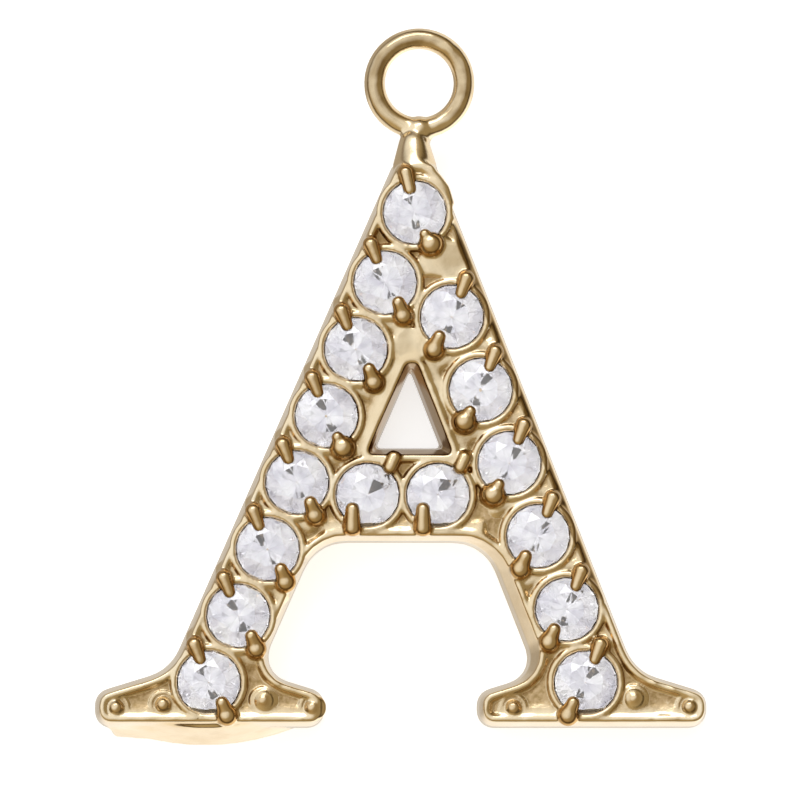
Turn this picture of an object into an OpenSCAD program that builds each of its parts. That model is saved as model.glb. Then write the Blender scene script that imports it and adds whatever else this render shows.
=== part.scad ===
// Initial pendant: a small cast letter A set with round white stones, and a soldered wire loop.
// It lies on its back. The front faces +Z, the top of the letter points to +Y, and the back is Z = 0.
// The foot line is the straight lower edge of the feet, and heights are measured up from it.

/* [Letter] */
// Height of the point where the two outer edges would meet
apex_h = 13.8; // [12.8:0.1:15]
// Distance between the two outer edges at the foot line
splay = 11.5; // [10.9:0.02:12.4]
// How far that meeting point stands to the right of the middle of the feet
lean = 0.33; // [0:0.01:0.6]
// Length of the pointed top that is left off where the loop's neck starts
tip_cut = 1.1; // [1:0.05:1.4]
// Radius of the two corners of the cut top
tip_r = 0.25; // [0.15:0.05:0.3]
// Width of the left leg, across it
left_leg_w = 1.86; // [1.84:0.02:2.1]
// Width of the right leg, across it
right_leg_w = 2.1; // [1.96:0.02:2.3]
// Width of each leg beside the counter, across it
rail_w = 2.05; // [1.95:0.05:2.2]

/* [Crossbar] */
// Height of the crossbar's lower edge
bar_y = 4.15; // [3.8:0.01:4.4]
// Height of the crossbar itself, from that edge to the counter
bar_w = 1.95; // [1.9:0.05:2.2]
// Radius of the arch's two upper corners
arch_r = 1; // [0.6:0.05:1.3]
// Radius of the counter's two lower corners
counter_r = 0.1; // [0.05:0.01:0.15]
// Radius of the counter's upper corner
counter_top_r = 0.17; // [0.1:0.01:0.2]

/* [Feet] */
// Width of each foot
foot_w = 5.15; // [4.8:0.05:5.5]
// Distance between the middles of the two feet
foot_span = 8.56; // [8:0.02:9]
// Height of a foot's round end
foot_end_h = 0.8; // [0.76:0.02:0.9]
// Radius of the corners of a foot's end
foot_r = 0.38; // [0.3:0.01:0.4]
// Slope of a foot's upper edge, in degrees
foot_slope = 17; // [12:1:20]
// Radius where a foot runs into the outer side of its leg
outer_bracket_r = 1.05; // [0.6:0.05:1.3]
// Radius where a foot runs into the inner side of its leg
inner_bracket_r = 0.56; // [0.3:0.02:0.7]
// How far the swollen lower side of the left foot drops below the foot line
belly_drop = 0.4; // [0.2:0.02:0.45]
// Width of the swelling at the foot line
belly_w = 4.1; // [3.4:0.1:4.1]
// Distance of the swelling's middle to the left of the foot's middle
belly_shift = 0.1; // [-0.1:0.02:0.1]

/* [Plate] */
// Thickness of the letter, from the back to the rim
plate_t = 1.5; // [1.3:0.05:2]
// Lean of the outer walls: how much narrower the front is, on each side
side_draft = 0.1; // [0.04:0.01:0.12]
// The same for the left leg's inner wall and the crossbar's lower wall
arch_draft = 0.16; // [0.08:0.01:0.17]
// The same for the right leg's inner wall
right_arch_draft = 0.28; // [0.1:0.01:0.3]
// The same for the counter's walls
counter_draft = 0.18; // [0.1:0.01:0.2]
// The same for the feet's lower walls
foot_draft = 0.14; // [0.08:0.01:0.16]
// Width of the raised rim round the front
rim_w = 0.12; // [0.08:0.01:0.14]
// Depth of the sunk field inside the rim
field_depth = 0.13; // [0.08:0.01:0.2]
// How far the field's wall leans inwards on the way down
field_slope = 0.07; // [0.03:0.01:0.08]

/* [Stones] */
// Diameter of a stone
stone_d = 1.4; // [1.2:0.02:1.42]
// Height of the cut top above the girdle
crown_h = 0.21; // [0.15:0.01:0.25]
// Height of the girdle
girdle_h = 0.05; // [0.03:0.01:0.08]
// Depth of the pointed lower part
pavilion_h = 0.6; // [0.5:0.01:0.65]
// Width of the flat table as a share of the stone's diameter
table_share = 0.56; // [0.5:0.01:0.62]
// How far the girdle's upper edge lies below the rim
girdle_sink = 0.05; // [0:0.01:0.1]
// Gap between a stone and the metal
stone_gap = 0.02; // [0.01:0.005:0.03]

/* [Rows] */
// Stones in the left leg
left_count = 7; // [5:1:7]
// Distance from the cut top down to the middle of the left leg's highest stone
left_top_drop = 2.75; // [2.72:0.01:2.9]
// Stones in the right leg
right_count = 6; // [4:1:6]
// The same for the right leg
right_top_drop = 3.51; // [3.48:0.01:3.9]
// Height of the lowest stone in each leg
first_y = 1.02; // [0.9:0.02:1.1]
// How far the right foot's stone sits inwards of its row
foot_stone_shift = 0.22; // [0:0.01:0.25]
// Distance between the crossbar's two stones, as a share of the distance between the legs' rows
bar_share = 0.306; // [0.3:0.002:0.33]
// Distance of the crossbar's pair to the left of the middle between the legs' rows
bar_shift = 0.09; // [0:0.01:0.14]
// Distance from the cut top down to the middle of the stone in the tip
tip_stone_drop = 1.18; // [1.1:0.02:1.3]

/* [Claws and beads] */
// Radius of a claw's round head
claw_r = 0.19; // [0.14:0.01:0.21]
// Radius of a claw's body
claw_body_r = 0.16; // [0.1:0.01:0.17]
// Length of a claw's body, from the head outwards and down
claw_len = 0.5; // [0.45:0.01:0.6]
// Slope of a claw's body, in degrees
claw_fall = 30; // [24:1:36]
// How far a head's middle reaches in over the stone's edge
claw_reach = 0.12; // [0.05:0.01:0.18]
// Height of a head's middle above the girdle's upper edge
claw_lift = 0.14; // [0.1:0.01:0.18]
// Radius of the small beads in the feet
bead_r = 0.18; // [0.12:0.01:0.2]
// Radius of the large bead beside the stone in each foot
big_bead_r = 0.23; // [0.18:0.01:0.25]

/* [Loop] */
// Opening of the loop, across it
loop_id = 1.53; // [1.2:0.01:2]
// Thickness of the loop's wire
wire_d = 0.48; // [0.4:0.01:0.6]
// Distance from the letter's cut top to the loop's wire
neck_len = 0.5; // [0.3:0.05:0.7]
// Thickness of the neck at the loop
neck_d = 0.48; // [0.4:0.02:0.6]
// How far the loop's middle stands to the right of the letter's middle line
loop_shift = 0.1; // [-0.1:0.05:0.2]
// Radius of the lump of solder round the joint
solder_r = 0.34; // [0.31:0.01:0.36]

/* [Hidden] */
$fn = 48;
// Number of straight pieces in a corner's arc, and the smallest radius that an inset corner keeps
ARC_STEPS = 5;
LEAST_R = 0.02;
// How far a cutting shape runs past the face that it cuts
PAST = 0.3;
// Height of the narrow end of the swelling under the left foot, as a share of the plate's thickness
BELLY_TOP = 0.9;

// Turn of the loop's wire, which keeps its first section away from the joint, and how far the lump
// of solder lies below the wire's middle
LOOP_TURN = 37;
SOLDER_SINK = 0.06;

// Wall of the letter from back to front: height and how much of the lean is reached, as shares
WALL = [[0, 0.3], [0.12, 0], [0.6, 0.25], [1, 1]];

// Directions up the two outer edges, and a point at the foot of each edge
left_up = unit([lean + splay / 2, apex_h]);
right_up = unit([lean - splay / 2, apex_h]);
left_edge = [-splay / 2, 0];
right_edge = [splay / 2, 0];
left_inner = left_edge - left_of(left_up) * left_leg_w;
right_inner = right_edge + left_of(right_up) * right_leg_w;

tip_y = apex_h - tip_cut;
counter_y = bar_y + bar_w;
left_angle = atan2(left_up.y, left_up.x);
right_angle = atan2(right_up.y, right_up.x);

half_foot = foot_w / 2;
foot_x = foot_span / 2;
slope_in = [cos(foot_slope), sin(foot_slope)];
slope_back = [-cos(foot_slope), sin(foot_slope)];

// Corners of the letter's widest outline, anticlockwise: place, radius, draft of the edge after it
LETTER = [
    corner([-foot_x - half_foot, 0], foot_r, foot_draft),
    corner([-foot_x + half_foot, 0], foot_r, side_draft),
    corner([-foot_x + half_foot, foot_end_h], foot_r, side_draft),
    corner(meet([-foot_x + half_foot, foot_end_h], slope_back, left_inner, left_up),
           inner_bracket_r, arch_draft),
    corner(meet(left_inner, left_up, [0, bar_y], [1, 0]), arch_r, arch_draft),
    corner(meet(right_inner, right_up, [0, bar_y], [1, 0]), arch_r, right_arch_draft),
    corner(meet([foot_x - half_foot, foot_end_h], slope_in, right_inner, right_up),
           inner_bracket_r, side_draft),
    corner([foot_x - half_foot, foot_end_h], foot_r, side_draft),
    corner([foot_x - half_foot, 0], foot_r, foot_draft),
    corner([foot_x + half_foot, 0], foot_r, side_draft),
    corner([foot_x + half_foot, foot_end_h], foot_r, side_draft),
    corner(meet([foot_x + half_foot, foot_end_h], slope_back, right_edge, right_up),
           outer_bracket_r, side_draft),
    corner(meet(right_edge, right_up, [0, tip_y], [1, 0]), tip_r, side_draft),
    corner(meet(left_edge, left_up, [0, tip_y], [1, 0]), tip_r, side_draft),
    corner(meet([-foot_x - half_foot, foot_end_h], slope_in, left_edge, left_up),
           outer_bracket_r, side_draft),
    corner([-foot_x - half_foot, foot_end_h], foot_r, side_draft)
];

// Corners of the counter at the front, anticlockwise, in the same form
rail_left = left_edge - left_of(left_up) * rail_w;
rail_right = right_edge + left_of(right_up) * rail_w;
COUNTER = [
    corner(meet(rail_left, left_up, [0, counter_y], [1, 0]), counter_r, counter_draft),
    corner(meet(rail_right, right_up, [0, counter_y], [1, 0]), counter_r, counter_draft),
    corner(meet(rail_left, left_up, rail_right, right_up), counter_top_r, counter_draft)
];

// Heights of a stone in the plate
girdle_z = plate_t - girdle_sink;
stone_r = stone_d / 2;
table_r = stone_r * table_share;

// Each row of stones runs midway between the front edges of its leg or bar
left_row_in = (left_leg_w + side_draft - arch_draft) / 2;
right_row_in = (right_leg_w + side_draft - right_arch_draft) / 2;
left_row = left_edge - left_of(left_up) * left_row_in;
right_row = right_edge + left_of(right_up) * right_row_in;
bar_row_y = (bar_y + arch_draft + counter_y) / 2;
bar_left_x = along(left_row, left_up, bar_row_y, 0).x;
bar_right_x = along(right_row, right_up, bar_row_y, 0).x;
bar_pitch = bar_share * (bar_right_x - bar_left_x);
tip_stone_y = tip_y - tip_stone_drop;

// Distance between neighbours in each leg, so that a row fills its leg from the foot to the tip
left_pitch = (tip_y - left_top_drop - first_y) / left_up.y / (left_count - 1);
right_pitch = (tip_y - right_top_drop - first_y) / right_up.y / (right_count - 1);

// Angles of the two claws of a stone: the upper one and the lower one, from the way up the row
LEG_CLAWS = [47, 54];
BAR_CLAWS = [58, 60];
TIP_CLAWS = [16, 23];

// Every stone: name, middle, and the angles of its upper and lower claw
STONES = concat(
    [["stone_tip", [middle_x(tip_stone_y), tip_stone_y], 90 + TIP_CLAWS[0], 270 + TIP_CLAWS[1]]],
    [for (i = [1 : left_count])
        [str("stone_left_", i), along(left_row, left_up, first_y, left_pitch * (i - 1)),
         left_angle + LEG_CLAWS[0], left_angle + 180 + LEG_CLAWS[1]]],
    [for (i = [1 : right_count])
        [str("stone_right_", i), along(right_row, right_up, first_y, right_pitch * (i - 1))
         - [i == 1 ? foot_stone_shift : 0, 0],
         right_angle - LEG_CLAWS[0], right_angle + 180 - LEG_CLAWS[1]]],
    [for (i = [1 : 2])
        [str("stone_bar_", i),
         [(bar_left_x + bar_right_x) / 2 - bar_shift + (i - 1.5) * bar_pitch, bar_row_y],
         BAR_CLAWS[0], 180 + BAR_CLAWS[1]]]
);

// Beads in the feet: place as a share of half a foot, height as a share of a foot's end, large or not
LEFT_BEADS = [[-0.82, 0.58, false], [-0.41, 0.66, false], [0.46, 0.78, true], [0.88, 0.58, false]];
RIGHT_BEADS = [[-0.7, 0.58, false], [0.35, 0.84, true], [0.83, 0.6, false]];

// The loop stands in the middle of the plate's thickness
loop_r = (loop_id + wire_d) / 2;
loop_z = plate_t / 2;
loop_x = middle_x(tip_y) + loop_shift;
loop_y = tip_y + neck_len + wire_d / 2 + loop_r;
loop_top = loop_y + loop_r + wire_d / 2;

// The pendant's middle, from the loop's top to the swelling's lowest place, lies on the origin
middle_y = (loop_top - belly_drop) / 2;

// Plane geometry
function unit(v) = v / norm(v);
function left_of(v) = [-v.y, v.x];
function crossed(a, b) = a.x * b.y - a.y * b.x;
function turned(v, a) = [v.x * cos(a) - v.y * sin(a), v.x * sin(a) + v.y * cos(a)];
function meet(p, u, q, v) = p + u * (crossed(q - p, v) / crossed(u, v));
function middle_x(y) = lean * y / apex_h;
function along(row, up, height, run) = row + up * ((height - row.y) / up.y + run);

// A corner of an outline, and the direction of the edge that leaves it
function corner(at, r, draft) = [at, r, draft];
function edge(c, i) = unit(c[(i + 1) % len(c)][0] - c[i][0]);

// An outline moved inwards: each edge by a share of its draft and by the same extra distance
function inset(c, share, extra) = [
    for (i = [0 : len(c) - 1])
        let (h = (i + len(c) - 1) % len(c),
             u = edge(c, h),
             v = edge(c, i),
             du = share * c[h][2] + extra,
             dv = share * c[i][2] + extra,
             bend = sign(crossed(u, v)))
        [meet(c[h][0] + left_of(u) * du, u, c[i][0] + left_of(v) * dv, v),
         max(c[i][1] - bend * (du + dv) / 2, LEAST_R), c[i][2]]
];

// The outline's points, with an arc of the same number of steps at every corner
function rounded(c) = [
    for (i = [0 : len(c) - 1])
        let (h = (i + len(c) - 1) % len(c),
             u = edge(c, h),
             v = edge(c, i),
             bend = sign(crossed(u, v)),
             turn = acos(u * v),
             start = c[i][0] - u * c[i][1] * tan(turn / 2),
             spoke = left_of(u) * bend * c[i][1])
        for (j = [0 : ARC_STEPS]) start + spoke - turned(spoke, bend * turn * j / ARC_STEPS)
];

// A solid through outlines of equally many points, each with its height. The ends are split into caps.
module lofted(rings, heights, caps) {
    n = len(rings[0]);
    last = len(rings) - 1;
    polyhedron(
        points = [for (k = [0 : last]) for (p = rings[k]) [p.x, p.y, heights[k]]],
        faces = concat(
            caps,
            [for (c = caps) [for (i = [len(c) - 1 : -1 : 0]) last * n + c[i]]],
            [for (k = [0 : last - 1]) for (i = [0 : n - 1])
                for (t = [[0, n, n + (i + 1) % n - i], [0, n + (i + 1) % n - i, (i + 1) % n - i]])
                    [for (p = t) k * n + i + p]]
        )
    );
}

// Index of each of the letter's corners, in the order of its outline
left_foot_index = [15, 0, 1, 2];
left_bracket_index = [14, 3];
arch_index = [4, 5];
right_foot_index = [7, 8, 9, 10];
right_bracket_index = [6, 11];
tip_index = [12, 13];

// Numbers of an outline's points: one point of a corner's arc, a whole arc, and the whole outline
function on_arc(c, j) = c * (ARC_STEPS + 1) + j;
function arc(c) = [for (j = [0 : ARC_STEPS]) on_arc(c, j)];
function whole(c) = [[for (i = [0 : len(c) * (ARC_STEPS + 1) - 1]) i]];

// A foot's flat face, split into its two ends, the part between and a strip up to its brackets. The
// outline passes the bracket before the foot, its four corners and the bracket after it.
function foot_caps(foot, before, after) = concat(
    [concat([on_arc(before, ARC_STEPS)], arc(foot[0]), arc(foot[1])),
     [on_arc(foot[1], ARC_STEPS), on_arc(foot[2], 0), on_arc(after, 0), on_arc(before, ARC_STEPS)],
     concat(arc(foot[2]), arc(foot[3]), [on_arc(after, 0)])],
    [for (j = [0 : ARC_STEPS - 1]) each [
        [on_arc(before, ARC_STEPS - j), on_arc(after, j), on_arc(after, j + 1)],
        [on_arc(before, ARC_STEPS - j), on_arc(after, j + 1), on_arc(before, ARC_STEPS - j - 1)]]]
);

// The letter's flat faces: its feet, its legs down from the tip, and the fans round the arch's corners
LETTER_CAPS = concat(
    foot_caps(left_foot_index, left_bracket_index[0], left_bracket_index[1]),
    foot_caps(right_foot_index, right_bracket_index[0], right_bracket_index[1]),
    [[on_arc(left_bracket_index[0], 0), on_arc(left_bracket_index[1], ARC_STEPS), on_arc(arch_index[0], 0)],
     [on_arc(left_bracket_index[0], 0), on_arc(arch_index[0], 0), on_arc(tip_index[1], ARC_STEPS)],
     [on_arc(tip_index[1], ARC_STEPS), on_arc(arch_index[0], ARC_STEPS), on_arc(arch_index[1], 0)],
     [on_arc(tip_index[1], ARC_STEPS), on_arc(arch_index[1], 0), on_arc(tip_index[0], 0)],
     [on_arc(tip_index[0], 0), on_arc(arch_index[1], ARC_STEPS), on_arc(right_bracket_index[1], ARC_STEPS)],
     [on_arc(arch_index[1], ARC_STEPS), on_arc(right_bracket_index[0], 0),
      on_arc(right_bracket_index[1], ARC_STEPS)],
     concat(arc(tip_index[0]), arc(tip_index[1]))],
    [for (j = [0 : ARC_STEPS - 1]) each [
        [on_arc(tip_index[1], ARC_STEPS), on_arc(arch_index[0], j), on_arc(arch_index[0], j + 1)],
        [on_arc(tip_index[0], 0), on_arc(arch_index[1], j), on_arc(arch_index[1], j + 1)]]]
);

// The letter's body, without its openings
module letter_body() {
    lofted([for (s = WALL) rounded(inset(LETTER, s[1], 0))], [for (s = WALL) s[0] * plate_t],
           LETTER_CAPS);
}

// The opening through the letter, which narrows towards the back as the walls lean
module counter_cut() {
    rings = [for (s = WALL) rounded(inset(COUNTER, 1 - s[1], 0))];
    heights = [for (s = WALL) s[0] * plate_t];
    lofted(concat([rings[0]], rings, [rings[len(rings) - 1]]),
           concat([-PAST], heights, [plate_t + PAST]), whole(COUNTER));
}

// The sunk field inside the rim, with the rim left standing round the counter too
module field_cut() {
    floor_z = plate_t - field_depth;
    difference() {
        lofted([for (e = [rim_w + field_slope, rim_w, rim_w]) rounded(inset(LETTER, 1, e))],
               [floor_z, plate_t, plate_t + PAST], LETTER_CAPS);
        lofted([for (e = [rim_w + field_slope, rim_w + field_slope, rim_w, rim_w])
                    rounded(inset(COUNTER, 0, -e))],
               [floor_z - PAST, floor_z, plate_t, plate_t + 2 * PAST], whole(COUNTER));
    }
}

// The hole in the plate under and round one stone
module seat_cut() {
    rotate_extrude()
        polygon([
            [0, girdle_z - girdle_h - pavilion_h - 2 * stone_gap],
            [stone_r + stone_gap, girdle_z - girdle_h - stone_gap],
            [stone_r + stone_gap, plate_t + PAST],
            [0, plate_t + PAST]
        ]);
}

// The space of one stone and its gap
module stone_space() {
    rotate_extrude()
        polygon([
            [0, girdle_z - girdle_h - pavilion_h - 2 * stone_gap],
            [stone_r + stone_gap, girdle_z - girdle_h - stone_gap],
            [stone_r + stone_gap, girdle_z + stone_gap],
            [stone_r * STAR_R + stone_gap, girdle_z + star_z + stone_gap],
            [table_r + stone_gap, girdle_z + crown_h + stone_gap],
            [0, girdle_z + crown_h + stone_gap]
        ]);
}

// One claw: a round head over the stone's edge, and a body that falls away outwards
module claw(a) {
    rotate([0, 0, a]) translate([stone_r - claw_reach, 0, girdle_z + claw_lift]) {
        sphere(r = claw_r);
        rotate([0, 90 + claw_fall, 0]) cylinder(r = claw_body_r, h = claw_len);
    }
}

// All claws, cut flush with the letter's front edges
module claws() {
    intersection() {
        for (s = STONES) translate(s[1]) {
            claw(s[2]);
            claw(s[3]);
        }
        translate([0, 0, plate_t / 2])
            linear_extrude(plate_t) difference() {
                polygon(rounded(inset(LETTER, 1, 0)));
                polygon(rounded(inset(COUNTER, 0, 0)));
            }
    }
}

module foot_beads(middle, beads) {
    for (b = beads)
        translate([middle + b[0] * half_foot, b[1] * foot_end_h, plate_t - field_depth])
            sphere(r = b[2] ? big_bead_r : bead_r);
}

// The claws and beads, with every stone's space left free
module raised_metal() {
    difference() {
        union() {
            claws();
            foot_beads(-foot_x, LEFT_BEADS);
            foot_beads(foot_x, RIGHT_BEADS);
        }
        for (s = STONES) translate(s[1]) stone_space();
    }
}

// The swollen lower side of the left foot, part of a wide flat cone
module foot_belly() {
    middle = -foot_x - belly_shift;
    wide_r = belly_w * belly_w / (8 * belly_drop) + belly_drop / 2;
    top = BELLY_TOP * plate_t;
    intersection() {
        translate([middle, wide_r - belly_drop, 0])
            cylinder(r1 = wide_r, r2 = wide_r - belly_drop, h = top, $fn = 360);
        translate([middle - belly_w / 2, -2 * belly_drop, 0])
            cube([belly_w, 2 * belly_drop + foot_end_h / 2, top]);
    }
}

// The wire loop, the neck that carries it and the solder between them
module loop_and_neck() {
    joint = [loop_x, loop_y - loop_r, loop_z];
    root = [middle_x(tip_y), tip_y - tip_r, loop_z];
    run = joint - root;
    translate([loop_x, loop_y, loop_z]) rotate([0, 0, LOOP_TURN])
        rotate_extrude($fn = 96) translate([loop_r, 0]) circle(d = wire_d, $fn = 32);
    translate(root)
        rotate([-90, 0, -atan2(run.x, run.y)])
            cylinder(r1 = neck_d * 0.75, r2 = neck_d / 2, h = norm(run));
    translate(joint - [0, SOLDER_SINK, 0]) rotate([90, 0, 0]) sphere(r = solder_r);
}

module letter_setting() {
    color("goldenrod") translate([0, -middle_y, 0]) {
        difference() {
            union() {
                letter_body();
                foot_belly();
            }
            counter_cut();
            field_cut();
            for (s = STONES) translate(s[1]) seat_cut();
        }
        raised_metal();
        loop_and_neck();
    }
}

// Points and faces of a round brilliant cut with its girdle's upper edge at zero height
HALF = 22.5;
STAR_R = 0.8;
LOWER_R = 0.25;
star_z = crown_h * (1 - STAR_R * cos(HALF)) / (1 - table_share);
lower_z = -girdle_h - pavilion_h * (1 - LOWER_R * cos(HALF));
CUT = concat(
    [for (i = [0 : 7]) on_ring(table_share, 2 * i, crown_h)],
    [for (i = [0 : 7]) on_ring(STAR_R, 2 * i + 1, star_z)],
    [for (i = [0 : 15]) on_ring(1, i, 0)],
    [for (i = [0 : 15]) on_ring(1, i, -girdle_h)],
    [for (i = [0 : 7]) on_ring(LOWER_R, 2 * i + 1, lower_z)],
    [[0, 0, -girdle_h - pavilion_h]]
);
FACETS = concat(
    [[for (i = [7 : -1 : 0]) i]],
    [for (i = [0 : 7]) let (n = (i + 1) % 8, m = (i + 7) % 8, g = 16 + 2 * i, e = 16 + (2 * i + 2) % 16)
        for (f = [[i, n, 8 + i], [i, 8 + i, g], [i, g, 8 + m], [8 + i, g + 1, g], [8 + i, e, g + 1],
                  [g, g + 1, g + 17, g + 16], [g + 1, e, e + 16, g + 17],
                  [g + 16, g + 17, 48 + i], [g + 17, e + 16, 48 + i],
                  [g + 16, 48 + i, 56], [g + 16, 56, 48 + m]])
            f]
);
function on_ring(share, step, z) = concat(stone_r * share * [cos(step * HALF), sin(step * HALF)], z);

// One stone, turned a little further than the one before it
STONE_TURN = 13;
module stone(i) {
    color("white")
        translate([STONES[i][1].x, STONES[i][1].y - middle_y, girdle_z])
            rotate([0, 0, STONE_TURN * i])
                polyhedron(points = CUT, faces = FACETS);
}

letter_setting();
for (i = [0 : len(STONES) - 1])
    stone(i);
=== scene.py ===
# %% [markdown]
# Initial pendant: a small cast letter with claw-set white stones and a soldered wire loop.
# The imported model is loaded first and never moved. It gives every place and size, in metres.
# The real pendant is cast in one piece, so its edges are soft, its claws melt into the plate, and
# only the stones are crisp. The scene keeps the stones and dresses the metal to match.

# %% Load the frame
import math

import bpy
from mathutils import Matrix, Vector


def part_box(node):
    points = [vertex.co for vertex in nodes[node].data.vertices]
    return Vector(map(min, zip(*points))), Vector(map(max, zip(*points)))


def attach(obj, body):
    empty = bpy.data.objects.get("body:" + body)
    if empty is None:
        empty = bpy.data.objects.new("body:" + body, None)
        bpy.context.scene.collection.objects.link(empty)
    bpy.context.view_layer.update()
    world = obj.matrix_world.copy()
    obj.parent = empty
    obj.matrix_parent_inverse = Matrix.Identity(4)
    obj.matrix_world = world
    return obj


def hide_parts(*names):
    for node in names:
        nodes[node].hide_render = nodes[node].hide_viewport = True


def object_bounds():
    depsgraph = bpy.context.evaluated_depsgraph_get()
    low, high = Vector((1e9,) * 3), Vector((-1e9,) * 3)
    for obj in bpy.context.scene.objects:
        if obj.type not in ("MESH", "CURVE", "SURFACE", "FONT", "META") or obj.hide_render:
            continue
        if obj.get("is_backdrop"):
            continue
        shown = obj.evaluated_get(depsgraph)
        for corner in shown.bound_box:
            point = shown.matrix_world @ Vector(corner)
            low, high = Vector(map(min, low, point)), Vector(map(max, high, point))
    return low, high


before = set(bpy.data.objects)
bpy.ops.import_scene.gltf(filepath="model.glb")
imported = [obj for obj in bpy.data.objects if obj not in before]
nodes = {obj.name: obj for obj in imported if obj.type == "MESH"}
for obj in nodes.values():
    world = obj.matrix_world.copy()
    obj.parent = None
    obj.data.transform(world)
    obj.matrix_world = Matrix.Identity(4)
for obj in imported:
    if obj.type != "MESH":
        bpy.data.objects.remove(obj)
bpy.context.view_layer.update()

MM = 0.001

# %% [markdown]
# Every stone's middle and radius come from its own node, so the claws and collars that are added
# here sit exactly round the stones, and nothing has to be measured twice.

# %% Read the stones' places
STONE_NAMES = sorted(n for n in nodes if n.startswith("stone"))
places = {}
for name in STONE_NAMES:
    low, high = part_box(name)
    places[name] = (low + high) / 2 / MM
stone_r = (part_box("stone_tip")[1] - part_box("stone_tip")[0]).x / 2 / MM
print(len(places), "stones, radius", round(stone_r, 3), "mm")

# %% [markdown]
# The pendant is photographed from almost straight above, lying on its back, a touch from the left
# and from below. A wide lens close by would splay the walls, so a long lens a quarter of a metre
# away is used, which keeps them almost parallel.

# %% Camera
VIEW_WIDTH = 17.86 * MM
LENS, SENSOR = 500.0, 36.0
target = Vector((-0.055, -0.32, 1.5)) * MM
yaw, pitch = math.radians(-2.0), math.radians(-1.7)
towards = Vector((math.sin(yaw), math.sin(pitch), 1)).normalized()
camera_data = bpy.data.cameras.new("camera")
camera_data.lens, camera_data.sensor_width = LENS, SENSOR
camera_data.clip_start, camera_data.clip_end = 0.01, 10
camera = bpy.data.objects.new("camera", camera_data)
bpy.context.scene.collection.objects.link(camera)
bpy.context.scene.camera = camera
camera.location = target + towards * (VIEW_WIDTH * LENS / SENSOR)
side = Vector((0, 1, 0)).cross(towards).normalized()
camera.matrix_world = Matrix.Translation(camera.location) @ Matrix(
    (side, towards.cross(side), towards)).transposed().to_4x4()
print("camera", round(camera.location.z / MM), "mm above the floor")

# %% [markdown]
# A material is a small network of nodes. Wiring each by hand takes many lines, so a few helpers add
# a node, link its sockets or set their values, and hand back what comes out of it.

# %% Helpers for materials
def new_material(name):
    material = bpy.data.materials.new(name)
    material.use_nodes = True
    tree = material.node_tree
    return material, tree, tree.nodes["Principled BSDF"]

def add_node(tree, kind, inputs=None, **settings):
    """Adds a node. Each input is a value, or a socket of another node, which is linked."""
    made = tree.nodes.new(kind)
    for key, value in settings.items():
        setattr(made, key, value)
    for key, value in (inputs or {}).items():
        if isinstance(value, bpy.types.NodeSocket):
            tree.links.new(value, made.inputs[key])
        else:
            made.inputs[key].default_value = value
    return made

def ramp(tree, factor, stops):
    """A colour ramp with its stops given as places and colours."""
    made = add_node(tree, "ShaderNodeValToRGB", {"Fac": factor})
    made.color_ramp.interpolation = "EASE"
    steps = made.color_ramp.elements
    while len(steps) < len(stops):
        steps.new(0.5)
    for step, (place, colour) in zip(steps, stops):
        step.position = place
        step.color = (*colour, 1)
    return made.outputs["Color"]

def between(tree, value, low, high, to_low=0.0, to_high=1.0):
    """A smooth step of a value from one number to another."""
    made = add_node(tree, "ShaderNodeMapRange", {
        "Value": value, "From Min": low, "From Max": high, "To Min": to_low, "To Max": to_high},
        interpolation_type="SMOOTHSTEP")
    return made.outputs["Result"]

def combine(tree, operation, *values):
    made = add_node(tree, "ShaderNodeMath", dict(enumerate(values)), operation=operation)
    return made.outputs["Value"]

def along_way(tree, vector, way):
    """How far a vector reaches along a given way."""
    made = add_node(tree, "ShaderNodeVectorMath", {0: vector, 1: tuple(way)}, operation="DOT_PRODUCT")
    return made.outputs["Value"]

def scaled(tree, vector, factor):
    made = add_node(tree, "ShaderNodeVectorMath", {0: vector, "Scale": factor}, operation="SCALE")
    return made.outputs["Vector"]

# %% [markdown]
# The floor is white paper lit from all round, as on a light table. More lamps would also make it
# white, but they would show in the metal, so the paper gets a little light of its own instead.

# %% Floor
FLOOR_SIZE, FLOOR_Z, FLOOR_GLOW = 3.0, -0.00002, 0.70

def deselect():
    for o in bpy.context.selected_objects:
        o.select_set(False)

deselect()
bpy.ops.mesh.primitive_plane_add(size=FLOOR_SIZE, location=(0, 0, FLOOR_Z))
floor = bpy.context.object
floor.name = "floor"
floor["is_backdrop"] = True
paper, tree, shader = new_material("pale_paper")
shader.inputs["Base Color"].default_value = (0.9, 0.9, 0.9, 1)
shader.inputs["Roughness"].default_value = 1.0
shader.inputs["Emission Color"].default_value = (1, 1, 1, 1)
shader.inputs["Emission Strength"].default_value = FLOOR_GLOW
floor.data.materials.append(paper)
floor.visible_glossy = False
print("floor", FLOOR_SIZE, "m wide")

# %% [markdown]
# Small shapes are easier to read in millimetres, and some of Blender's tools don't work below a
# tenth of a millimetre when a scene is in metres. So the metal is modelled in millimetres and
# brought to metres once, at the end.

# %% Helpers for modelling
def activate(o):
    deselect()
    o.select_set(True)
    bpy.context.view_layer.objects.active = o

def in_edit_mode(o, shape, picked):
    """Selects the vertices whose place fits, and runs one shaping step on them."""
    activate(o)
    bpy.ops.object.mode_set(mode="EDIT")
    bpy.ops.mesh.select_mode(type="VERT")
    bpy.ops.mesh.select_all(action="DESELECT")
    bpy.ops.object.mode_set(mode="OBJECT")
    for v in o.data.vertices:
        v.select = bool(picked(v.co))
    bpy.ops.object.mode_set(mode="EDIT")
    shape()
    bpy.ops.object.mode_set(mode="OBJECT")

def all_in_edit_mode(o, shape):
    activate(o)
    bpy.ops.object.mode_set(mode="EDIT")
    bpy.ops.mesh.select_all(action="SELECT")
    shape()
    bpy.ops.object.mode_set(mode="OBJECT")

def move_where(o, by, picked):
    """Moves the vertices whose place fits."""
    in_edit_mode(o, lambda: bpy.ops.transform.translate(value=by), picked)

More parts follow.
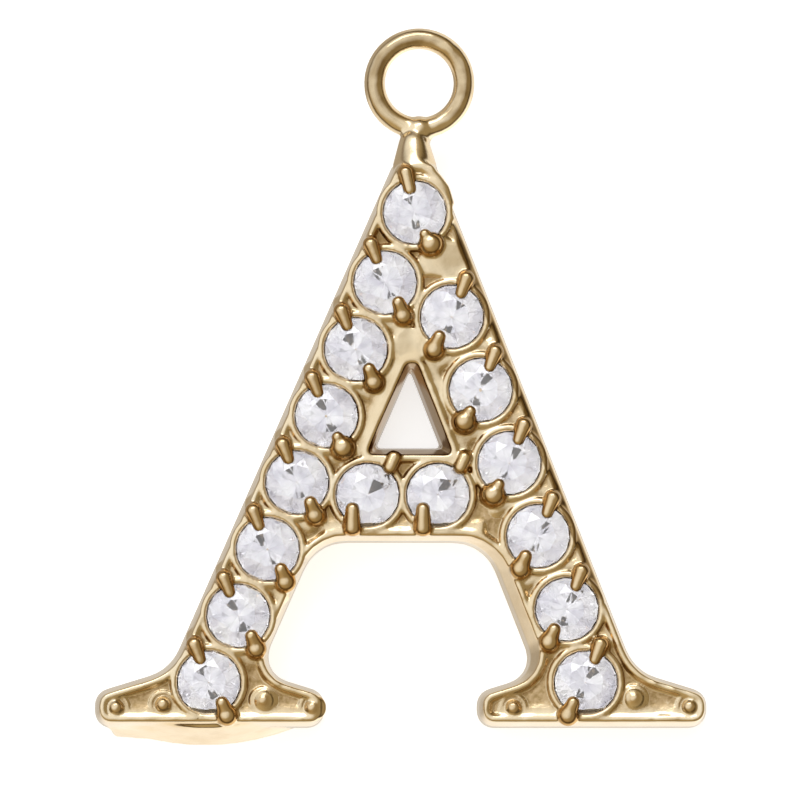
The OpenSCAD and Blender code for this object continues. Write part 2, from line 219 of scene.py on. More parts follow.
def resize_where(o, by, picked):
    """Resizes the vertices whose place fits, about the origin."""
    in_edit_mode(o, lambda: bpy.ops.transform.resize(value=by, center_override=(0, 0, 0)), picked)

def new_block(size):
    """A cube brought to its length, width and height, with its middle at the origin."""
    deselect()
    bpy.ops.mesh.primitive_cube_add(size=1.0, location=(0, 0, 0))
    block = bpy.context.object
    all_in_edit_mode(block, lambda: bpy.ops.transform.resize(value=size, center_override=(0, 0, 0)))
    return block

def apply_modifier(o, kind, **settings):
    activate(o)
    modifier = o.modifiers.new(kind.lower(), kind)
    for key, value in settings.items():
        setattr(modifier, key, value)
    bpy.ops.object.modifier_apply(modifier=modifier.name)

def placed_copy(o, where):
    """A copy with its own mesh, brought to its place by a matrix."""
    twin = bpy.data.objects.new(o.name + "_copy", o.data.copy())
    twin.data.transform(where)
    bpy.context.scene.collection.objects.link(twin)
    return twin

def join(parts):
    activate(parts[0])
    for o in parts:
        o.select_set(True)
    bpy.ops.object.join()
    return bpy.context.object

def triangles(o):
    return sum(len(f.vertices) - 2 for f in o.data.polygons)

# %% [markdown]
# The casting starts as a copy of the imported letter, so that every outline and seat stays where it
# is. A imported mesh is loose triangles, so the copy is enlarged from metres to millimetres and its
# doubles are merged. Its plain claws stand above the front face and are cut off flat there, because
# fuller claws and beads are modelled below.

# %% The letter's blank
PLATE_T, CUT_BELOW, MERGE = 1.5, 0.002, 0.0005
blank = bpy.data.objects.new("cast_letter", nodes["letter_setting"].data.copy())
bpy.context.scene.collection.objects.link(blank)
blank.data.transform(Matrix.Scale(1 / MM, 4))
all_in_edit_mode(blank, lambda: bpy.ops.mesh.remove_doubles(threshold=MERGE))
all_in_edit_mode(blank, lambda: bpy.ops.mesh.bisect(
    plane_co=(0, 0, PLATE_T - CUT_BELOW), plane_no=(0, 0, 1), use_fill=True, clear_outer=True))
blank_top = max(v.co.z for v in blank.data.vertices)
print("blank:", triangles(blank), "triangles, top at", round(blank_top, 3))

# %% [markdown]
# The right leg's outer edge is worn to a slope, where it is dark in the light. A bevel would need one
# clean edge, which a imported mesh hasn't, so a long block is turned by 45 degrees and cut away. The
# edge starts at the foot line, half the legs' splay out, and the wall's draft sets it in a little.

# %% Worn edge
HALF_SPLAY, SIDE_DRAFT, FOOT_LINE = 5.75, 0.10, -7.645
EDGE_RUN, EDGE_RISE = -0.3656, 0.9308
RIGHT_EDGE = Vector((EDGE_RUN, EDGE_RISE, 0))
RIGHT_FOOT = Vector((HALF_SPLAY - SIDE_DRAFT / EDGE_RISE, FOOT_LINE, PLATE_T))
WEAR_FROM, WEAR_TO, WEAR_DEPTH, CUTTER_W = 3.0, 12.2, 0.17, 1.0

def wear_edge(start, end, depth):
    """Cuts a flat at 45 degrees along a straight front edge, whose right side is the outer one."""
    run = end - start
    cutter = new_block((CUTTER_W, run.length, CUTTER_W))
    out = Vector((run.y, -run.x, 0)).normalized()
    normal = (out + Vector((0, 0, 1))).normalized()
    turn = Matrix((normal, run.normalized(), normal.cross(run.normalized()))).transposed().to_4x4()
    middle = (start + end) / 2 + normal * (CUTTER_W / 2 - depth / math.sqrt(2))
    cutter.data.transform(Matrix.Translation(middle) @ turn)
    apply_modifier(blank, "BOOLEAN", object=cutter, operation="DIFFERENCE", solver="EXACT")
    bpy.data.objects.remove(cutter)

wear_edge(RIGHT_FOOT + RIGHT_EDGE * WEAR_FROM, RIGHT_FOOT + RIGHT_EDGE * WEAR_TO, WEAR_DEPTH)
print("after the cut:", triangles(blank), "triangles")

# %% [markdown]
# The peg is the shape that most of the added metal comes from: claws, beads, swellings and solder.
# It starts as a sphere one unit in radius with its poles turned along X, and each copy's outer half
# is pulled along to its length, so one short function makes them all.

# %% Pegs
PEG_WAIST = 0.01
deselect()
bpy.ops.mesh.primitive_uv_sphere_add(segments=20, ring_count=14, radius=1.0)
peg = bpy.context.object
peg.name = "peg"
all_in_edit_mode(peg, lambda: bpy.ops.transform.rotate(
    value=math.pi / 2, orient_axis="Y", center_override=(0, 0, 0)))

def peg_between(head, root, head_r, root_r):
    """A peg from its head to its root, both given as points, with a radius at each."""
    twin = placed_copy(peg, Matrix.Identity(4))
    run = root - head
    turn = run.normalized().to_track_quat("X", "Z").to_matrix().to_4x4()
    for v in twin.data.vertices:
        at_head = v.co.x < PEG_WAIST
        r = head_r if at_head else root_r
        v.co = Vector((v.co.x * r + (0 if at_head else run.length), v.co.y * r, v.co.z * r))
    twin.data.transform(Matrix.Translation(head) @ turn)
    return twin

def round_bead(x, y, z, r):
    return placed_copy(peg, Matrix.Translation((x, y, z)) @ Matrix.Scale(r, 4))

print("peg:", triangles(peg), "triangles")

# %% [markdown]
# Between the stones the casting swells up almost to the rims, because the caster leaves metal there
# for the claws. Near the tip and over the counter, which is the letter's triangular hole, these
# swellings are low flat buttons under the front face, and the first smoothing melts them into the
# plate. A button is a cylinder whose top edge is drawn in. Each has a place, a radius and a top.

# %% Swellings between the stones
BUTTON_H, BUTTON_TOP = 0.4, 0.8
BUTTONS = [(0.86, 2.88, 0.56, 1.465), (1.12, 2.64, 0.40, 1.46), (0.60, 2.72, 0.34, 1.46),
           (0.17, 0.90, 0.50, 1.47)]
deselect()
bpy.ops.mesh.primitive_cylinder_add(vertices=24, radius=1.0, depth=BUTTON_H, location=(0, 0, 0))
button = bpy.context.object
resize_where(button, (BUTTON_TOP, BUTTON_TOP, 1), lambda co: co.z > 0)

def swelling(x, y, r, top):
    return placed_copy(button, Matrix.Translation((x, y, top - BUTTON_H / 2))
                       @ Matrix.Diagonal((r, r, 1, 1)))

soft = [swelling(*shape) for shape in BUTTONS]
bpy.data.objects.remove(button)
print(len(soft), "buttons")

# %% [markdown]
# Across each leg a low ridge lies between one stone and the next, and one more runs along each side
# of the counter. They are pegs, because a peg's round ends melt into the rims without a mark.

# %% Ridges between the stones
LEFT_LEG = [n for n in STONE_NAMES if "left" in n]
RIGHT_LEG = [n for n in STONE_NAMES if "right" in n]
RIDGE_R, RIDGE_Z, RIDGE_REACH = 0.24, 1.21, 0.66
COUNTER_X, COUNTER_FOOT, COUNTER_TIP = 0.235, (1.16, -1.45), (0.40, 0.55)
for row in (LEFT_LEG, RIGHT_LEG):
    for a, b in zip(row, row[1:]):
        middle, run = (places[a] + places[b]) / 2, places[b] - places[a]
        reach = Vector((run.y, -run.x, 0)).normalized() * RIDGE_REACH
        middle.z = RIDGE_Z
        soft.append(peg_between(middle - reach, middle + reach, RIDGE_R, RIDGE_R))
for mirror in (-1, 1):
    foot, tip = (Vector((COUNTER_X + mirror * out, up, RIDGE_Z))
                 for out, up in (COUNTER_FOOT, COUNTER_TIP))
    soft.append(peg_between(foot, tip, RIDGE_R, RIDGE_R))
print(len(soft), "buttons and ridges")

# %% [markdown]
# The rim along the foot line and under the crossbar slopes gently to its inner side, where it
# catches the light as a broad bright band. It is a wedge, made from a cube by pulling one top edge
# down, which is simpler than cutting the rim itself.

# %% Sloping rims
SILL_W, SILL_H, SILL_DROP, SILL_SINK = 0.36, 0.5, 0.09, 0.26
SILLS = [(-6.45, -1.95, 0.14), (2.15, 6.45, 0.14), (-1.75, 1.85, 4.28)]

def sill(x_from, x_to, front):
    """A wedge along X. Its crest lies at the front edge, and it slopes down towards +Y."""
    slope = new_block((x_to - x_from, SILL_W, SILL_H))
    move_where(slope, (0, 0, -SILL_DROP), lambda co: co.y > 0 and co.z > 0)
    slope.data.transform(Matrix.Translation(
        ((x_from + x_to) / 2, front + SILL_W / 2, PLATE_T - SILL_SINK)))
    return slope

soft += [sill(x_from, x_to, FOOT_LINE + up) for x_from, x_to, up in SILLS]
print(len(SILLS), "sloping rims that drop by", SILL_DROP, "mm")

# %% [markdown]
# The tip narrows into a neck that carries the loop. It is one fat peg that falls from the front face
# to the wire, with a bright ridge that runs from the loop down to the first stone's collar. So the
# neck flows into the letter without a step.

# %% Neck
NECK_HEAD, NECK_ROOT = Vector((0.29, 4.95, 0.97)), Vector((0.28, 5.42, 0.88))
NECK_HEAD_R, NECK_ROOT_R = 0.50, 0.35
soft.append(peg_between(NECK_HEAD, NECK_ROOT, NECK_HEAD_R, NECK_ROOT_R))

def ridge(points):
    """A melted ridge, as solder leaves it. Each point is a place and a radius."""
    for a, b in zip(points, points[1:]):
        soft.append(peg_between(Vector(a[:3]), Vector(b[:3]), a[3], b[3]))

ridge([(0.18, 5.42, 1.02, 0.17), (0.26, 5.12, 1.24, 0.16), (0.47, 4.90, 1.36, 0.15),
       (0.78, 4.65, 1.38, 0.12), (0.97, 4.42, 1.39, 0.10), (1.10, 4.08, 1.39, 0.08)])
print("neck:", round((NECK_ROOT - NECK_HEAD).length, 2), "mm long")

# %% [markdown]
# The left foot's lower side is swollen, as a casting is where its metal came in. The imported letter
# has the swelling, and a wedge fills the corner on its left, so that the wall runs on without a
# step. The wedge is a cube whose lower front edge is pulled out, more so on the right, and whose
# lower left corner is pulled in, so that the swelling starts with a slant.

# %% Swollen foot
SWELL_FROM, SWELL_TO, SWELL_W, SWELL_TOP = -6.70, -4.60, 0.2, 1.38
SWELL_UP, PULL_OUT, PULL_MORE, PULL_IN = 0.29, 0.39, 0.14, 0.30
wedge = new_block((SWELL_TO - SWELL_FROM, SWELL_W, SWELL_TOP))
move_where(wedge, (0, -PULL_OUT, 0), lambda co: co.y < 0 and co.z < 0)
move_where(wedge, (0, -PULL_MORE, 0), lambda co: co.y < 0 and co.z < 0 and co.x > 0)
move_where(wedge, (PULL_IN, 0, 0), lambda co: co.y < 0 and co.z < 0 and co.x < 0)
wedge.data.transform(Matrix.Translation(
    ((SWELL_FROM + SWELL_TO) / 2, FOOT_LINE + SWELL_UP, SWELL_TOP / 2)))
soft.append(wedge)
print("wedge:", round(SWELL_TO - SWELL_FROM, 2), "mm long")

# %% [markdown]
# A voxel remesh gives the blank and its swellings one even skin, and smoothing wears the rims down
# to soft ridges, as polishing does to a casting. Modelling such soft edges by hand would take far
# longer.

# %% First skin
FIRST_VOXEL, FIRST_PASSES = 0.035, 9
blank = join([blank] + soft)
apply_modifier(blank, "REMESH", mode="VOXEL", voxel_size=FIRST_VOXEL)
apply_modifier(blank, "SMOOTH", factor=0.5, iterations=FIRST_PASSES)
print("first skin:", triangles(blank), "triangles")

# %% [markdown]
# A small casting is never quite even. Its front is pushed in and out by a hundredth of a millimetre
# or two, by a displace modifier that reads soft clouds. Its weight follows how much a place faces
# up, so it fades out over the rims, and the walls and the flat back stay as they are.

# %% Uneven front
UNEVEN, CLOUD_SIZE, FACES_UP = 0.05, 0.42, 0.05
front = blank.vertex_groups.new(name="front")
for v in blank.data.vertices:
    if v.normal.z > FACES_UP:
        front.add([v.index], v.normal.z ** 2, "REPLACE")
clouds = bpy.data.textures.new("casting_clouds", "CLOUDS")
clouds.noise_scale, clouds.noise_depth = CLOUD_SIZE, 1
apply_modifier(blank, "DISPLACE", texture=clouds, texture_coords="LOCAL", vertex_group="front",
               strength=UNEVEN, mid_level=0.5)
metal = [blank]
print("clouds of", CLOUD_SIZE, "mm")

# %% [markdown]
# Each stone sits in a thin bright collar, which the setter's tool leaves round the seat. It is
# modelled once as a ring whose outer half is widened, and copied to every stone.

# %% Collars round the stones
COLLAR_R, COLLAR_WIRE, COLLAR_SINK = stone_r + 0.075, 0.064, 0.062
COLLAR_WIDER, WIDER_FROM = 1.03, COLLAR_R + 0.02
deselect()
bpy.ops.mesh.primitive_torus_add(major_radius=COLLAR_R, minor_radius=COLLAR_WIRE,
                                 major_segments=48, minor_segments=12)
collar = bpy.context.object
collar.name = "collar"
resize_where(collar, (COLLAR_WIDER, COLLAR_WIDER, 1), lambda co: math.hypot(co.x, co.y) > WIDER_FROM)
for at in places.values():
    metal.append(placed_copy(collar, Matrix.Translation((at.x, at.y, PLATE_T - COLLAR_SINK))))
bpy.data.objects.remove(collar)
print(len(places), "collars of radius", round(COLLAR_R, 3), "mm")

# %% [markdown]
# A claw is a round-headed peg that leans over the stone's edge and runs down into the plate. Each
# shape is the places of its head and its root, as offsets from the stone's middle, then their radii
# and their heights. A ball has an offset, a radius and a height.

# %% Claws and balls
UPPER_CLAW = (-0.19, 0.50), (-0.32, 0.84), (0.135, 0.195), (1.53, 1.53)
LOWER_CLAW = (0.29, -0.45), (0.36, -0.62), (0.155, 0.20), (1.59, 1.50)
BIG_LOWER_CLAW = (0.24, -0.48), (0.33, -0.62), (0.14, 0.18), (1.58, 1.42)
TIP_UPPER_CLAW = (-0.11, 0.50), (-0.20, 0.88), (0.15, 0.18), (1.53, 1.50)
TIP_LOWER_CLAW = (0.22, -0.49), (0.28, -0.60), (0.13, 0.18), (1.58, 1.42)
BAR_UPPER_CLAW = (0.50, 0.62), (0.59, 0.82), (0.17, 0.19), (1.47, 1.42)
BAR_LOWER_CLAW = (-0.34, -0.32), (-0.34, -0.72), (0.165, 0.215), (1.57, 1.48)
BALL, BIG_BALL = ((0.40, -0.74), 0.245, 1.45), ((0.36, -0.71), 0.29, 1.46)

def claw(stone_name, shape, lean=1):
    """Adds a claw to a stone. A lean of -1 mirrors it."""
    head, root, (head_r, root_r), (head_z, root_z) = shape
    at = places[stone_name]
    metal.append(peg_between(Vector((at.x + head[0] * lean, at.y + head[1], head_z)),
                             Vector((at.x + root[0] * lean, at.y + root[1], root_z)),
                             head_r, root_r))

def ball(stone_name, shape, lean=1):
    """Adds a ball below a stone. A lean of -1 mirrors it."""
    (out, up), r, z = shape
    at = places[stone_name]
    metal.append(round_bead(at.x + out * lean, at.y + up, z, r))

print("radii of the balls:", BALL[1], "and", BIG_BALL[1], "mm")

# %% [markdown]
# On the two legs every stone has one short claw above and one below that ends in a ball, mirrored
# from leg to leg. Four of the balls are larger, and one of those is at the tip. The bar's stones
# have plain claws.

# %% Set the claws
BAR = [n for n in STONE_NAMES if "bar" in n]
BIG_BALLED = ["stone_right_4", "stone_right_5", "stone_left_5"]
for name in LEFT_LEG + RIGHT_LEG:
    lean = 1 if name in LEFT_LEG else -1
    is_big = name in BIG_BALLED
    claw(name, UPPER_CLAW, lean)
    claw(name, BIG_LOWER_CLAW if is_big else LOWER_CLAW, lean)
    ball(name, BIG_BALL if is_big else BALL, lean)
claw("stone_tip", TIP_UPPER_CLAW)
claw("stone_tip", TIP_LOWER_CLAW)
ball("stone_tip", BIG_BALL)
for name in BAR:
    claw(name, BAR_UPPER_CLAW)
    claw(name, BAR_LOWER_CLAW)
print(len(metal) - 1 - len(places), "claws and balls")

# %% [markdown]
# The feet carry small round beads, each in a shallow ring that the beading tool pressed round it.
# One ring and one bead are copied along both feet. Each place is an X and a height over the foot
# line.

# %% Beads in the feet
BEAD_R, BEAD_Z, RING_R, RING_WIRE = 0.18, 1.38, 0.27, 0.05
BEADS = [(-6.39, 0.46), (-5.34, 0.53), (-3.10, 0.62), (-2.01, 0.46), (2.48, 0.46), (5.18, 0.67),
         (6.42, 0.48)]
deselect()
bpy.ops.mesh.primitive_torus_add(major_radius=RING_R, minor_radius=RING_WIRE,
                                 major_segments=32, minor_segments=10)
ring = bpy.context.object
for x, up in BEADS:
    metal.append(placed_copy(ring, Matrix.Translation((x, FOOT_LINE + up, BEAD_Z))))
    metal.append(round_bead(x, FOOT_LINE + up, BEAD_Z, BEAD_R))
bpy.data.objects.remove(ring)
print(len(BEADS), "beads")

# %% [markdown]
# The wire loop is closed and soldered to the tip. The solder leaves a folded lump where the wire's
# ends meet, and a smaller one beside it. Two more pegs make them.

# %% Solder at the loop
def solder(head, root, head_r, root_r):
    metal.append(peg_between(Vector(head), Vector(root), head_r, root_r))

solder((0.37, 5.84, 0.93), (0.34, 5.46, 1.02), 0.12, 0.16)
solder((0.08, 5.71, 0.87), (0.14, 5.42, 0.95), 0.12, 0.15)
bpy.data.objects.remove(peg)
print(len(metal), "parts to melt together")

# %% [markdown]
# The parts are joined, and a second voxel remesh melts them into one skin, as a casting comes out
# of its mould. A light smoothing keeps the claws and collars crisper than the plate, and the
# decimate modifier drops the triangles that flat places don't need.

# %% One skin
VOXEL, PASSES, MOST_TRIANGLES = 0.030, 4, 170000
cast_letter = join(metal)
apply_modifier(cast_letter, "REMESH", mode="VOXEL", voxel_size=VOXEL)
print("second skin:", triangles(cast_letter), "triangles")
apply_modifier(cast_letter, "SMOOTH", factor=0.5, iterations=PASSES)
apply_modifier(cast_letter, "DECIMATE", ratio=min(1.0, MOST_TRIANGLES / triangles(cast_letter)))
print("finished:", triangles(cast_letter), "triangles")
cast_letter.data.transform(Matrix.Scale(MM, 4))
activate(cast_letter)
bpy.ops.object.shade_smooth()
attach(cast_letter, "root")
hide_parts("letter_setting")

# %% [markdown]
# The gold reads the Object coordinates, so its pattern holds from any side: a soft cloud for its
# colour, a slow ripple and a fine grain. It also reads the height and the way a face points.

# %% What the gold reads
CLOUD_SCALE, RIPPLE_SCALE, GRAIN_SCALE = 900.0, 1500.0, 9000.0
gold, tree, shader = new_material("pale_gold_plate")
shader.inputs["Metallic"].default_value = 1.0
where = add_node(tree, "ShaderNodeTexCoord")
place = add_node(tree, "ShaderNodeSeparateXYZ", {"Vector": where.outputs["Object"]})
along_y, height = place.outputs["Y"], place.outputs["Z"]
facing = add_node(tree, "ShaderNodeSeparateXYZ", {"Vector": where.outputs["Normal"]}).outputs["Z"]

def noise(scale, detail):
    made = add_node(tree, "ShaderNodeTexNoise", {
        "Vector": where.outputs["Object"], "Scale": scale, "Detail": detail, "Roughness": 0.55})
    return made.outputs["Fac"]

def mixed(factor, plain, other):
    """Mixes two colours. Each is a socket or a plain colour."""
    made = add_node(tree, "ShaderNodeMix", {"Factor": factor}, data_type="RGBA")
    for socket, colour in ((made.inputs[6], plain), (made.inputs[7], other)):
        if isinstance(colour, bpy.types.NodeSocket):
            tree.links.new(colour, socket)
        else:
            socket.default_value = (*colour, 1)
    return made.outputs[2]

cloud, ripple = noise(CLOUD_SCALE, 3.0), noise(RIPPLE_SCALE, 1.0)
grain = noise(GRAIN_SCALE, 2.0)
print("clouds of", round(1 / CLOUD_SCALE / MM, 1), "mm and grain of",
      round(1 / GRAIN_SCALE / MM, 2), "mm")

# %% [markdown]
# The plating is pale gold. The rims and collars are polished, and the sunk field between them keeps
# the casting's fine grain and is given a darker, browner tone. The claws stand highest, and their
# sides are darkened to a deeper gold as painted shade, so that only their tops stay bright. Height
# and the way a face points tell these places apart, so no mask has to be painted.

# %% Gold
FIELD_FROM, FIELD_TO, FIELD_FACING = (0.00120, 0.00130), (0.00138, 0.00146), (0.88, 0.98)
CLAW_FROM, CLAW_FACING, CLAW_SIDE_SHADE = (0.00148, 0.00154), (0.96, 0.72), (0.58, 0.36, 0.14)
sunk = combine(tree, "MULTIPLY", between(tree, height, *FIELD_FROM),
               between(tree, height, *FIELD_TO, 1.0, 0.0))
sunk = combine(tree, "MULTIPLY", sunk, between(tree, facing, *FIELD_FACING))
plate_tone = ramp(tree, cloud, [
    (0.3, (0.82, 0.65, 0.41)), (0.55, (0.90, 0.74, 0.50)), (0.75, (0.94, 0.81, 0.59))])
# The sunk field, found by its height and by facing up, is given a darker, browner tone than the
# plate.
sunk_tone = ramp(tree, grain, [
    (0.3, (0.44, 0.30, 0.13)), (0.6, (0.64, 0.46, 0.25)), (0.8, (0.84, 0.67, 0.43))])
tone = mixed(sunk, plate_tone, sunk_tone)
# Painted shade: the claws' sides, found by height and by facing away from straight up, are darkened.
claw_side_shade = combine(tree, "MULTIPLY", between(tree, height, *CLAW_FROM),
                    between(tree, facing, *CLAW_FACING, 0.25, 1.0))
tone = mixed(claw_side_shade, tone, CLAW_SIDE_SHADE)
print("sunk field from", FIELD_FROM[0] / MM, "to", FIELD_TO[1] / MM, "mm high")

# %% [markdown]
# Painted shade: a brown tone is painted into the corners round the claws and collars, and on the
# walls of the counter, where shade falls. An ambient occlusion node finds the corners by itself.
# The counter is found by its place.

# %% Painted shade in the corners
PAINTED_SHADE, SHADE_REACH, SHADE_STEP = (0.32, 0.19, 0.065), 0.00030, (0.88, 0.45)
COUNTER_AT, COUNTER_REACH, WALL_FACING = (0.00008, -0.00075, 0.0), 0.0015, (0.85, 0.5)
hidden = add_node(tree, "ShaderNodeAmbientOcclusion", {"Distance": SHADE_REACH},
                  samples=6, only_local=True)
# Painted shade: the corners that the ambient occlusion finds are painted brown.
corner = between(tree, hidden.outputs["AO"], *SHADE_STEP)
flat_place = add_node(tree, "ShaderNodeVectorMath", {0: where.outputs["Object"], 1: (1, 1, 0)},
                      operation="MULTIPLY").outputs["Vector"]
far = add_node(tree, "ShaderNodeVectorMath", {0: flat_place, 1: COUNTER_AT},
               operation="DISTANCE").outputs["Value"]
# Painted shade: the counter's walls, found by place and by facing sideways, are painted brown.
counter_wall_shade = combine(tree, "MULTIPLY", between(tree, far, COUNTER_REACH * 1.1, COUNTER_REACH),
                     between(tree, facing, *WALL_FACING))
tone = mixed(combine(tree, "MAXIMUM", corner, counter_wall_shade), tone, PAINTED_SHADE)
print("tarnish reaches", round(SHADE_REACH / MM, 2), "mm out of the corners")

# %% [markdown]
# Two places get more painted shade: the worn slope along the right leg, darkened to a dark line, and
# the top of the loop's wire, in patches. The slope is found by its distance from the leg's edge.

# %% Painted shade on the slope and the loop
SLOPE_AND_WIRE_SHADE = (0.34, 0.22, 0.09)
EDGE_AT = (RIGHT_FOOT.x * RIGHT_EDGE.y - RIGHT_FOOT.y * RIGHT_EDGE.x) * MM
SLOPE_INNER = EDGE_AT - 0.00019, EDGE_AT - 0.00014
SLOPE_OUTER = EDGE_AT + 0.00002, EDGE_AT - 0.00003
SLOPE_FROM, SLOPE_TO, LOOP_FROM = (-0.0050, -0.0046), (0.0036, 0.0032), (0.0059, 0.0062)
WIRE_FACING, PATCHES, PATCH_SHARE = (0.60, 0.95), (0.40, 0.60), (0.25, 0.75)
from_edge = along_way(tree, where.outputs["Object"], (RIGHT_EDGE.y, -RIGHT_EDGE.x, 0))
# Painted shade: the worn slope is darkened so that it shows as a dark line.
worn = combine(tree, "MULTIPLY", between(tree, from_edge, *SLOPE_INNER),
               between(tree, from_edge, *SLOPE_OUTER))
worn = combine(tree, "MULTIPLY", worn, combine(
    tree, "MULTIPLY", between(tree, along_y, *SLOPE_FROM), between(tree, along_y, *SLOPE_TO)))
# Painted shade: the top of the loop's wire is darkened in patches.
shaded_wire_top = combine(tree, "MULTIPLY", between(tree, along_y, *LOOP_FROM),
                  between(tree, facing, *WIRE_FACING))
shaded_wire_top = combine(tree, "MULTIPLY", shaded_wire_top, between(tree, cloud, *PATCHES, *PATCH_SHARE))
tone = mixed(combine(tree, "MAXIMUM", worn, shaded_wire_top), tone, SLOPE_AND_WIRE_SHADE)
tree.links.new(tone, shader.inputs["Base Color"])
print("worn slope", round(EDGE_AT / MM, 2), "mm out along the edge's normal")

# %% [markdown]
# No polished casting is quite even. A slow ripple bends the reflections a few degrees, and a fine
# grain roughens the sunk field. Both are bumps, because they are too fine for the mesh.

# %% Ripple and grain
RIPPLE_H, GRAIN_H, POLISHED, DULL = 0.000012, 0.00004, 0.16, 0.34
tree.links.new(between(tree, sunk, 0.0, 1.0, POLISHED, DULL), shader.inputs["Roughness"])
waves = add_node(tree, "ShaderNodeBump", {"Height": ripple, "Strength": 1.0, "Distance": RIPPLE_H})
grain_height = combine(tree, "MULTIPLY", grain, between(tree, sunk, 0.0, 1.0, 0.15, 1.0))
bump = add_node(tree, "ShaderNodeBump", {
    "Height": grain_height, "Strength": 0.3, "Distance": GRAIN_H,
    "Normal": waves.outputs["Normal"]})
tree.links.new(bump.outputs["Normal"], shader.inputs["Normal"])
cast_letter.data.materials.clear()
cast_letter.data.materials.append(gold)
print("gold:", len(tree.nodes), "nodes")

# %% [markdown]
# The stones are clear and white. A full glass would show only the dark seat under it, so a little
# of the light is scattered at the surface. Faint clouds and wavy spots stand for what a cheap stone
# has inside and on its worn facets.

# %% Stone
STONE_IOR, STONE_CLEAR, FACET_WAVE = 2.1, 0.88, 0.000012
STONE_CLOUD_SCALE, SPOT_SCALE = 2400.0, 6000.0
stone, tree, shader = new_material("white_stone")
where = add_node(tree, "ShaderNodeTexCoord")
stone_cloud, stone_spots = noise(STONE_CLOUD_SCALE, 2.0), noise(SPOT_SCALE, 2.0)
stone_tone = ramp(tree, stone_cloud, [
    (0.37, (0.66, 0.65, 0.71)), (0.52, (0.93, 0.925, 0.95)), (0.66, (1.0, 1.0, 0.99))])
tree.links.new(stone_tone, shader.inputs["Base Color"])
tree.links.new(between(tree, stone_spots, 0.40, 0.70, 0.0, 0.08), shader.inputs["Roughness"])
facet_bump = add_node(tree, "ShaderNodeBump", {
    "Height": stone_cloud, "Strength": 0.5, "Distance": FACET_WAVE})
tree.links.new(facet_bump.outputs["Normal"], shader.inputs["Normal"])
shader.inputs["IOR"].default_value = STONE_IOR
shader.inputs["Transmission Weight"].default_value = STONE_CLEAR

for name, o in nodes.items():
    o.data.materials.clear()
    o.data.materials.append(gold if name == "letter_setting" else stone)
print("materials on", len(nodes), "packed pieces")

# %% [markdown]
# Polished metal shows its surroundings, so the studio matters as much as the plating. One broad
# soft light hangs overhead, a little to the left and behind. Flat faces mirror it and turn cream,
# while the sides of claws and wires mirror the dim, warm room and turn brown. The camera's stand is
# a small dimmer spot almost straight above.

# %% Light
LIGHT_WAY = Vector((-0.42, 0.38, 0.82)).normalized()
STAND_WAY = Vector((0.12, 0.02, 0.99)).normalized()
DARK, ROOM, LIT = (0.12, 0.085, 0.04), (0.42, 0.33, 0.18), (1.0, 1.02, 1.04)
world = bpy.data.worlds.new("studio")
bpy.context.scene.world = world
world.use_nodes = True
tree = world.node_tree
sky = tree.nodes["Background"]
way = add_node(tree, "ShaderNodeTexCoord").outputs["Generated"]
axes = add_node(tree, "ShaderNodeSeparateXYZ", {"Vector": way})
across, along, up = axes.outputs["X"], axes.outputs["Y"], axes.outputs["Z"]
aim, stand = along_way(tree, way, LIGHT_WAY), along_way(tree, way, STAND_WAY)
room = ramp(tree, up, [(0.0, DARK), (0.12, DARK), (0.45, ROOM), (1.0, ROOM)])
room = scaled(tree, room, between(tree, across, -0.7, 0.7, 1.25, 0.8))
above = add_node(tree, "ShaderNodeMix", {"Factor": between(tree, aim, 0.45, 0.92)},
                 data_type="VECTOR")
tree.links.new(room, above.inputs[4])
above.inputs[5].default_value = LIT
above = scaled(tree, above.outputs[1], between(tree, stand, 0.965, 0.995, 1.0, 0.88))
print("light from", [round(v, 2) for v in LIGHT_WAY])

# %% [markdown]
# Below the horizon the metal's walls would mirror the floor, which is left out of reflections so
# that the outlines show. A glow stands in for it: stronger in front and on the right, as in the
# photograph.

# %% Light from below
front_glow = between(tree, along, -0.05, -0.35, 0.0, 0.45)
right_glow = between(tree, across, 0.0, 0.5, 0.0, 0.35)
left_shade = between(tree, across, -0.5, -0.1, 0.30, 0.55)
below = combine(tree, "ADD", combine(tree, "ADD", front_glow, right_glow), left_shade)
below = combine(tree, "MULTIPLY", below, between(tree, up, 0.05, -0.30))
level = add_node(tree, "ShaderNodeVectorMath", {0: above, 1: below},
                 operation="ADD").outputs["Vector"]
print("studio:", len(tree.nodes), "nodes so far")

# %% [markdown]
# A stone bends light many times, so it gathers the bright light from every side. The world shows a
# brighter sky to the rays that pass through the stones, and plain white to the camera.

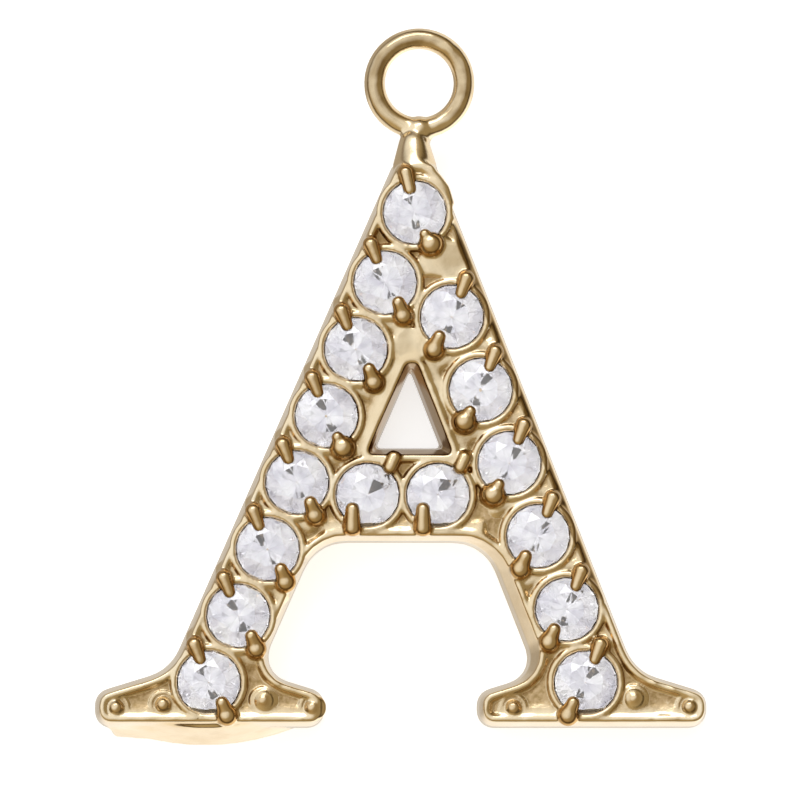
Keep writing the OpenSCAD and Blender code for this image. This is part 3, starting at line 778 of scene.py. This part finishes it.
# %% Light through the stones
STONE_LOW, STONE_HIGH, BACKDROP = (0.32, 0.31, 0.36), (1.53, 1.53, 1.57), (0.97, 0.97, 0.97)
ray = add_node(tree, "ShaderNodeLightPath")
through = ramp(tree, up, [
    (0.0, STONE_LOW), (0.24, STONE_LOW), (0.70, STONE_HIGH), (1.0, STONE_HIGH)])
stone_side = combine(tree, "MULTIPLY", between(tree, across, -0.6, 0.6, 1.1, 0.85),
                     between(tree, aim, 0.90, 0.99, 1.0, 0.6))
through = scaled(tree, through, stone_side)

def pick(factor, plain, special):
    """Passes one colour for the rays that the factor names, and the plain one for the rest."""
    made = add_node(tree, "ShaderNodeMix", {"Factor": factor}, data_type="VECTOR")
    tree.links.new(plain, made.inputs[4])
    if isinstance(special, bpy.types.NodeSocket):
        tree.links.new(special, made.inputs[5])
    else:
        made.inputs[5].default_value = special
    return made.outputs[1]

level = pick(ray.outputs["Is Transmission Ray"], level, through)
level = pick(ray.outputs["Is Camera Ray"], level, BACKDROP)
tree.links.new(level, sky.inputs["Color"])
sky.inputs["Strength"].default_value = 1.0
print("studio:", len(tree.nodes), "nodes")

# %% [markdown]
# One soft lamp gives the pendant its faint shadow on the paper. It is an area lamp, because a small
# lamp would throw a hard shadow.

# %% Lamp
LAMP_AT, LAMP_SIZE, LAMP_POWER = Vector((-0.06, 0.30, 0.26)), (0.30, 0.14), 0.25
lamp_data = bpy.data.lights.new("top_window", "AREA")
lamp_data.shape = "RECTANGLE"
lamp_data.size, lamp_data.size_y = LAMP_SIZE
lamp_data.energy = LAMP_POWER
lamp = bpy.data.objects.new("top_window", lamp_data)
bpy.context.scene.collection.objects.link(lamp)
lamp.location = LAMP_AT
lamp.rotation_mode = "QUATERNION"
lamp.rotation_quaternion = LAMP_AT.to_track_quat("Z", "Y")
bpy.context.scene.view_settings.view_transform = "Standard"
print("lamp", round(LAMP_AT.length, 2), "m away")

# %% [markdown]
# The dressed pendant's box is printed, in millimetres. The dressed pendant has to stay inside the
# imported model's box.

# %% Size
low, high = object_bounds()
print("visual box, mm:", [round(v / MM, 2) for v in (*low, *high)])
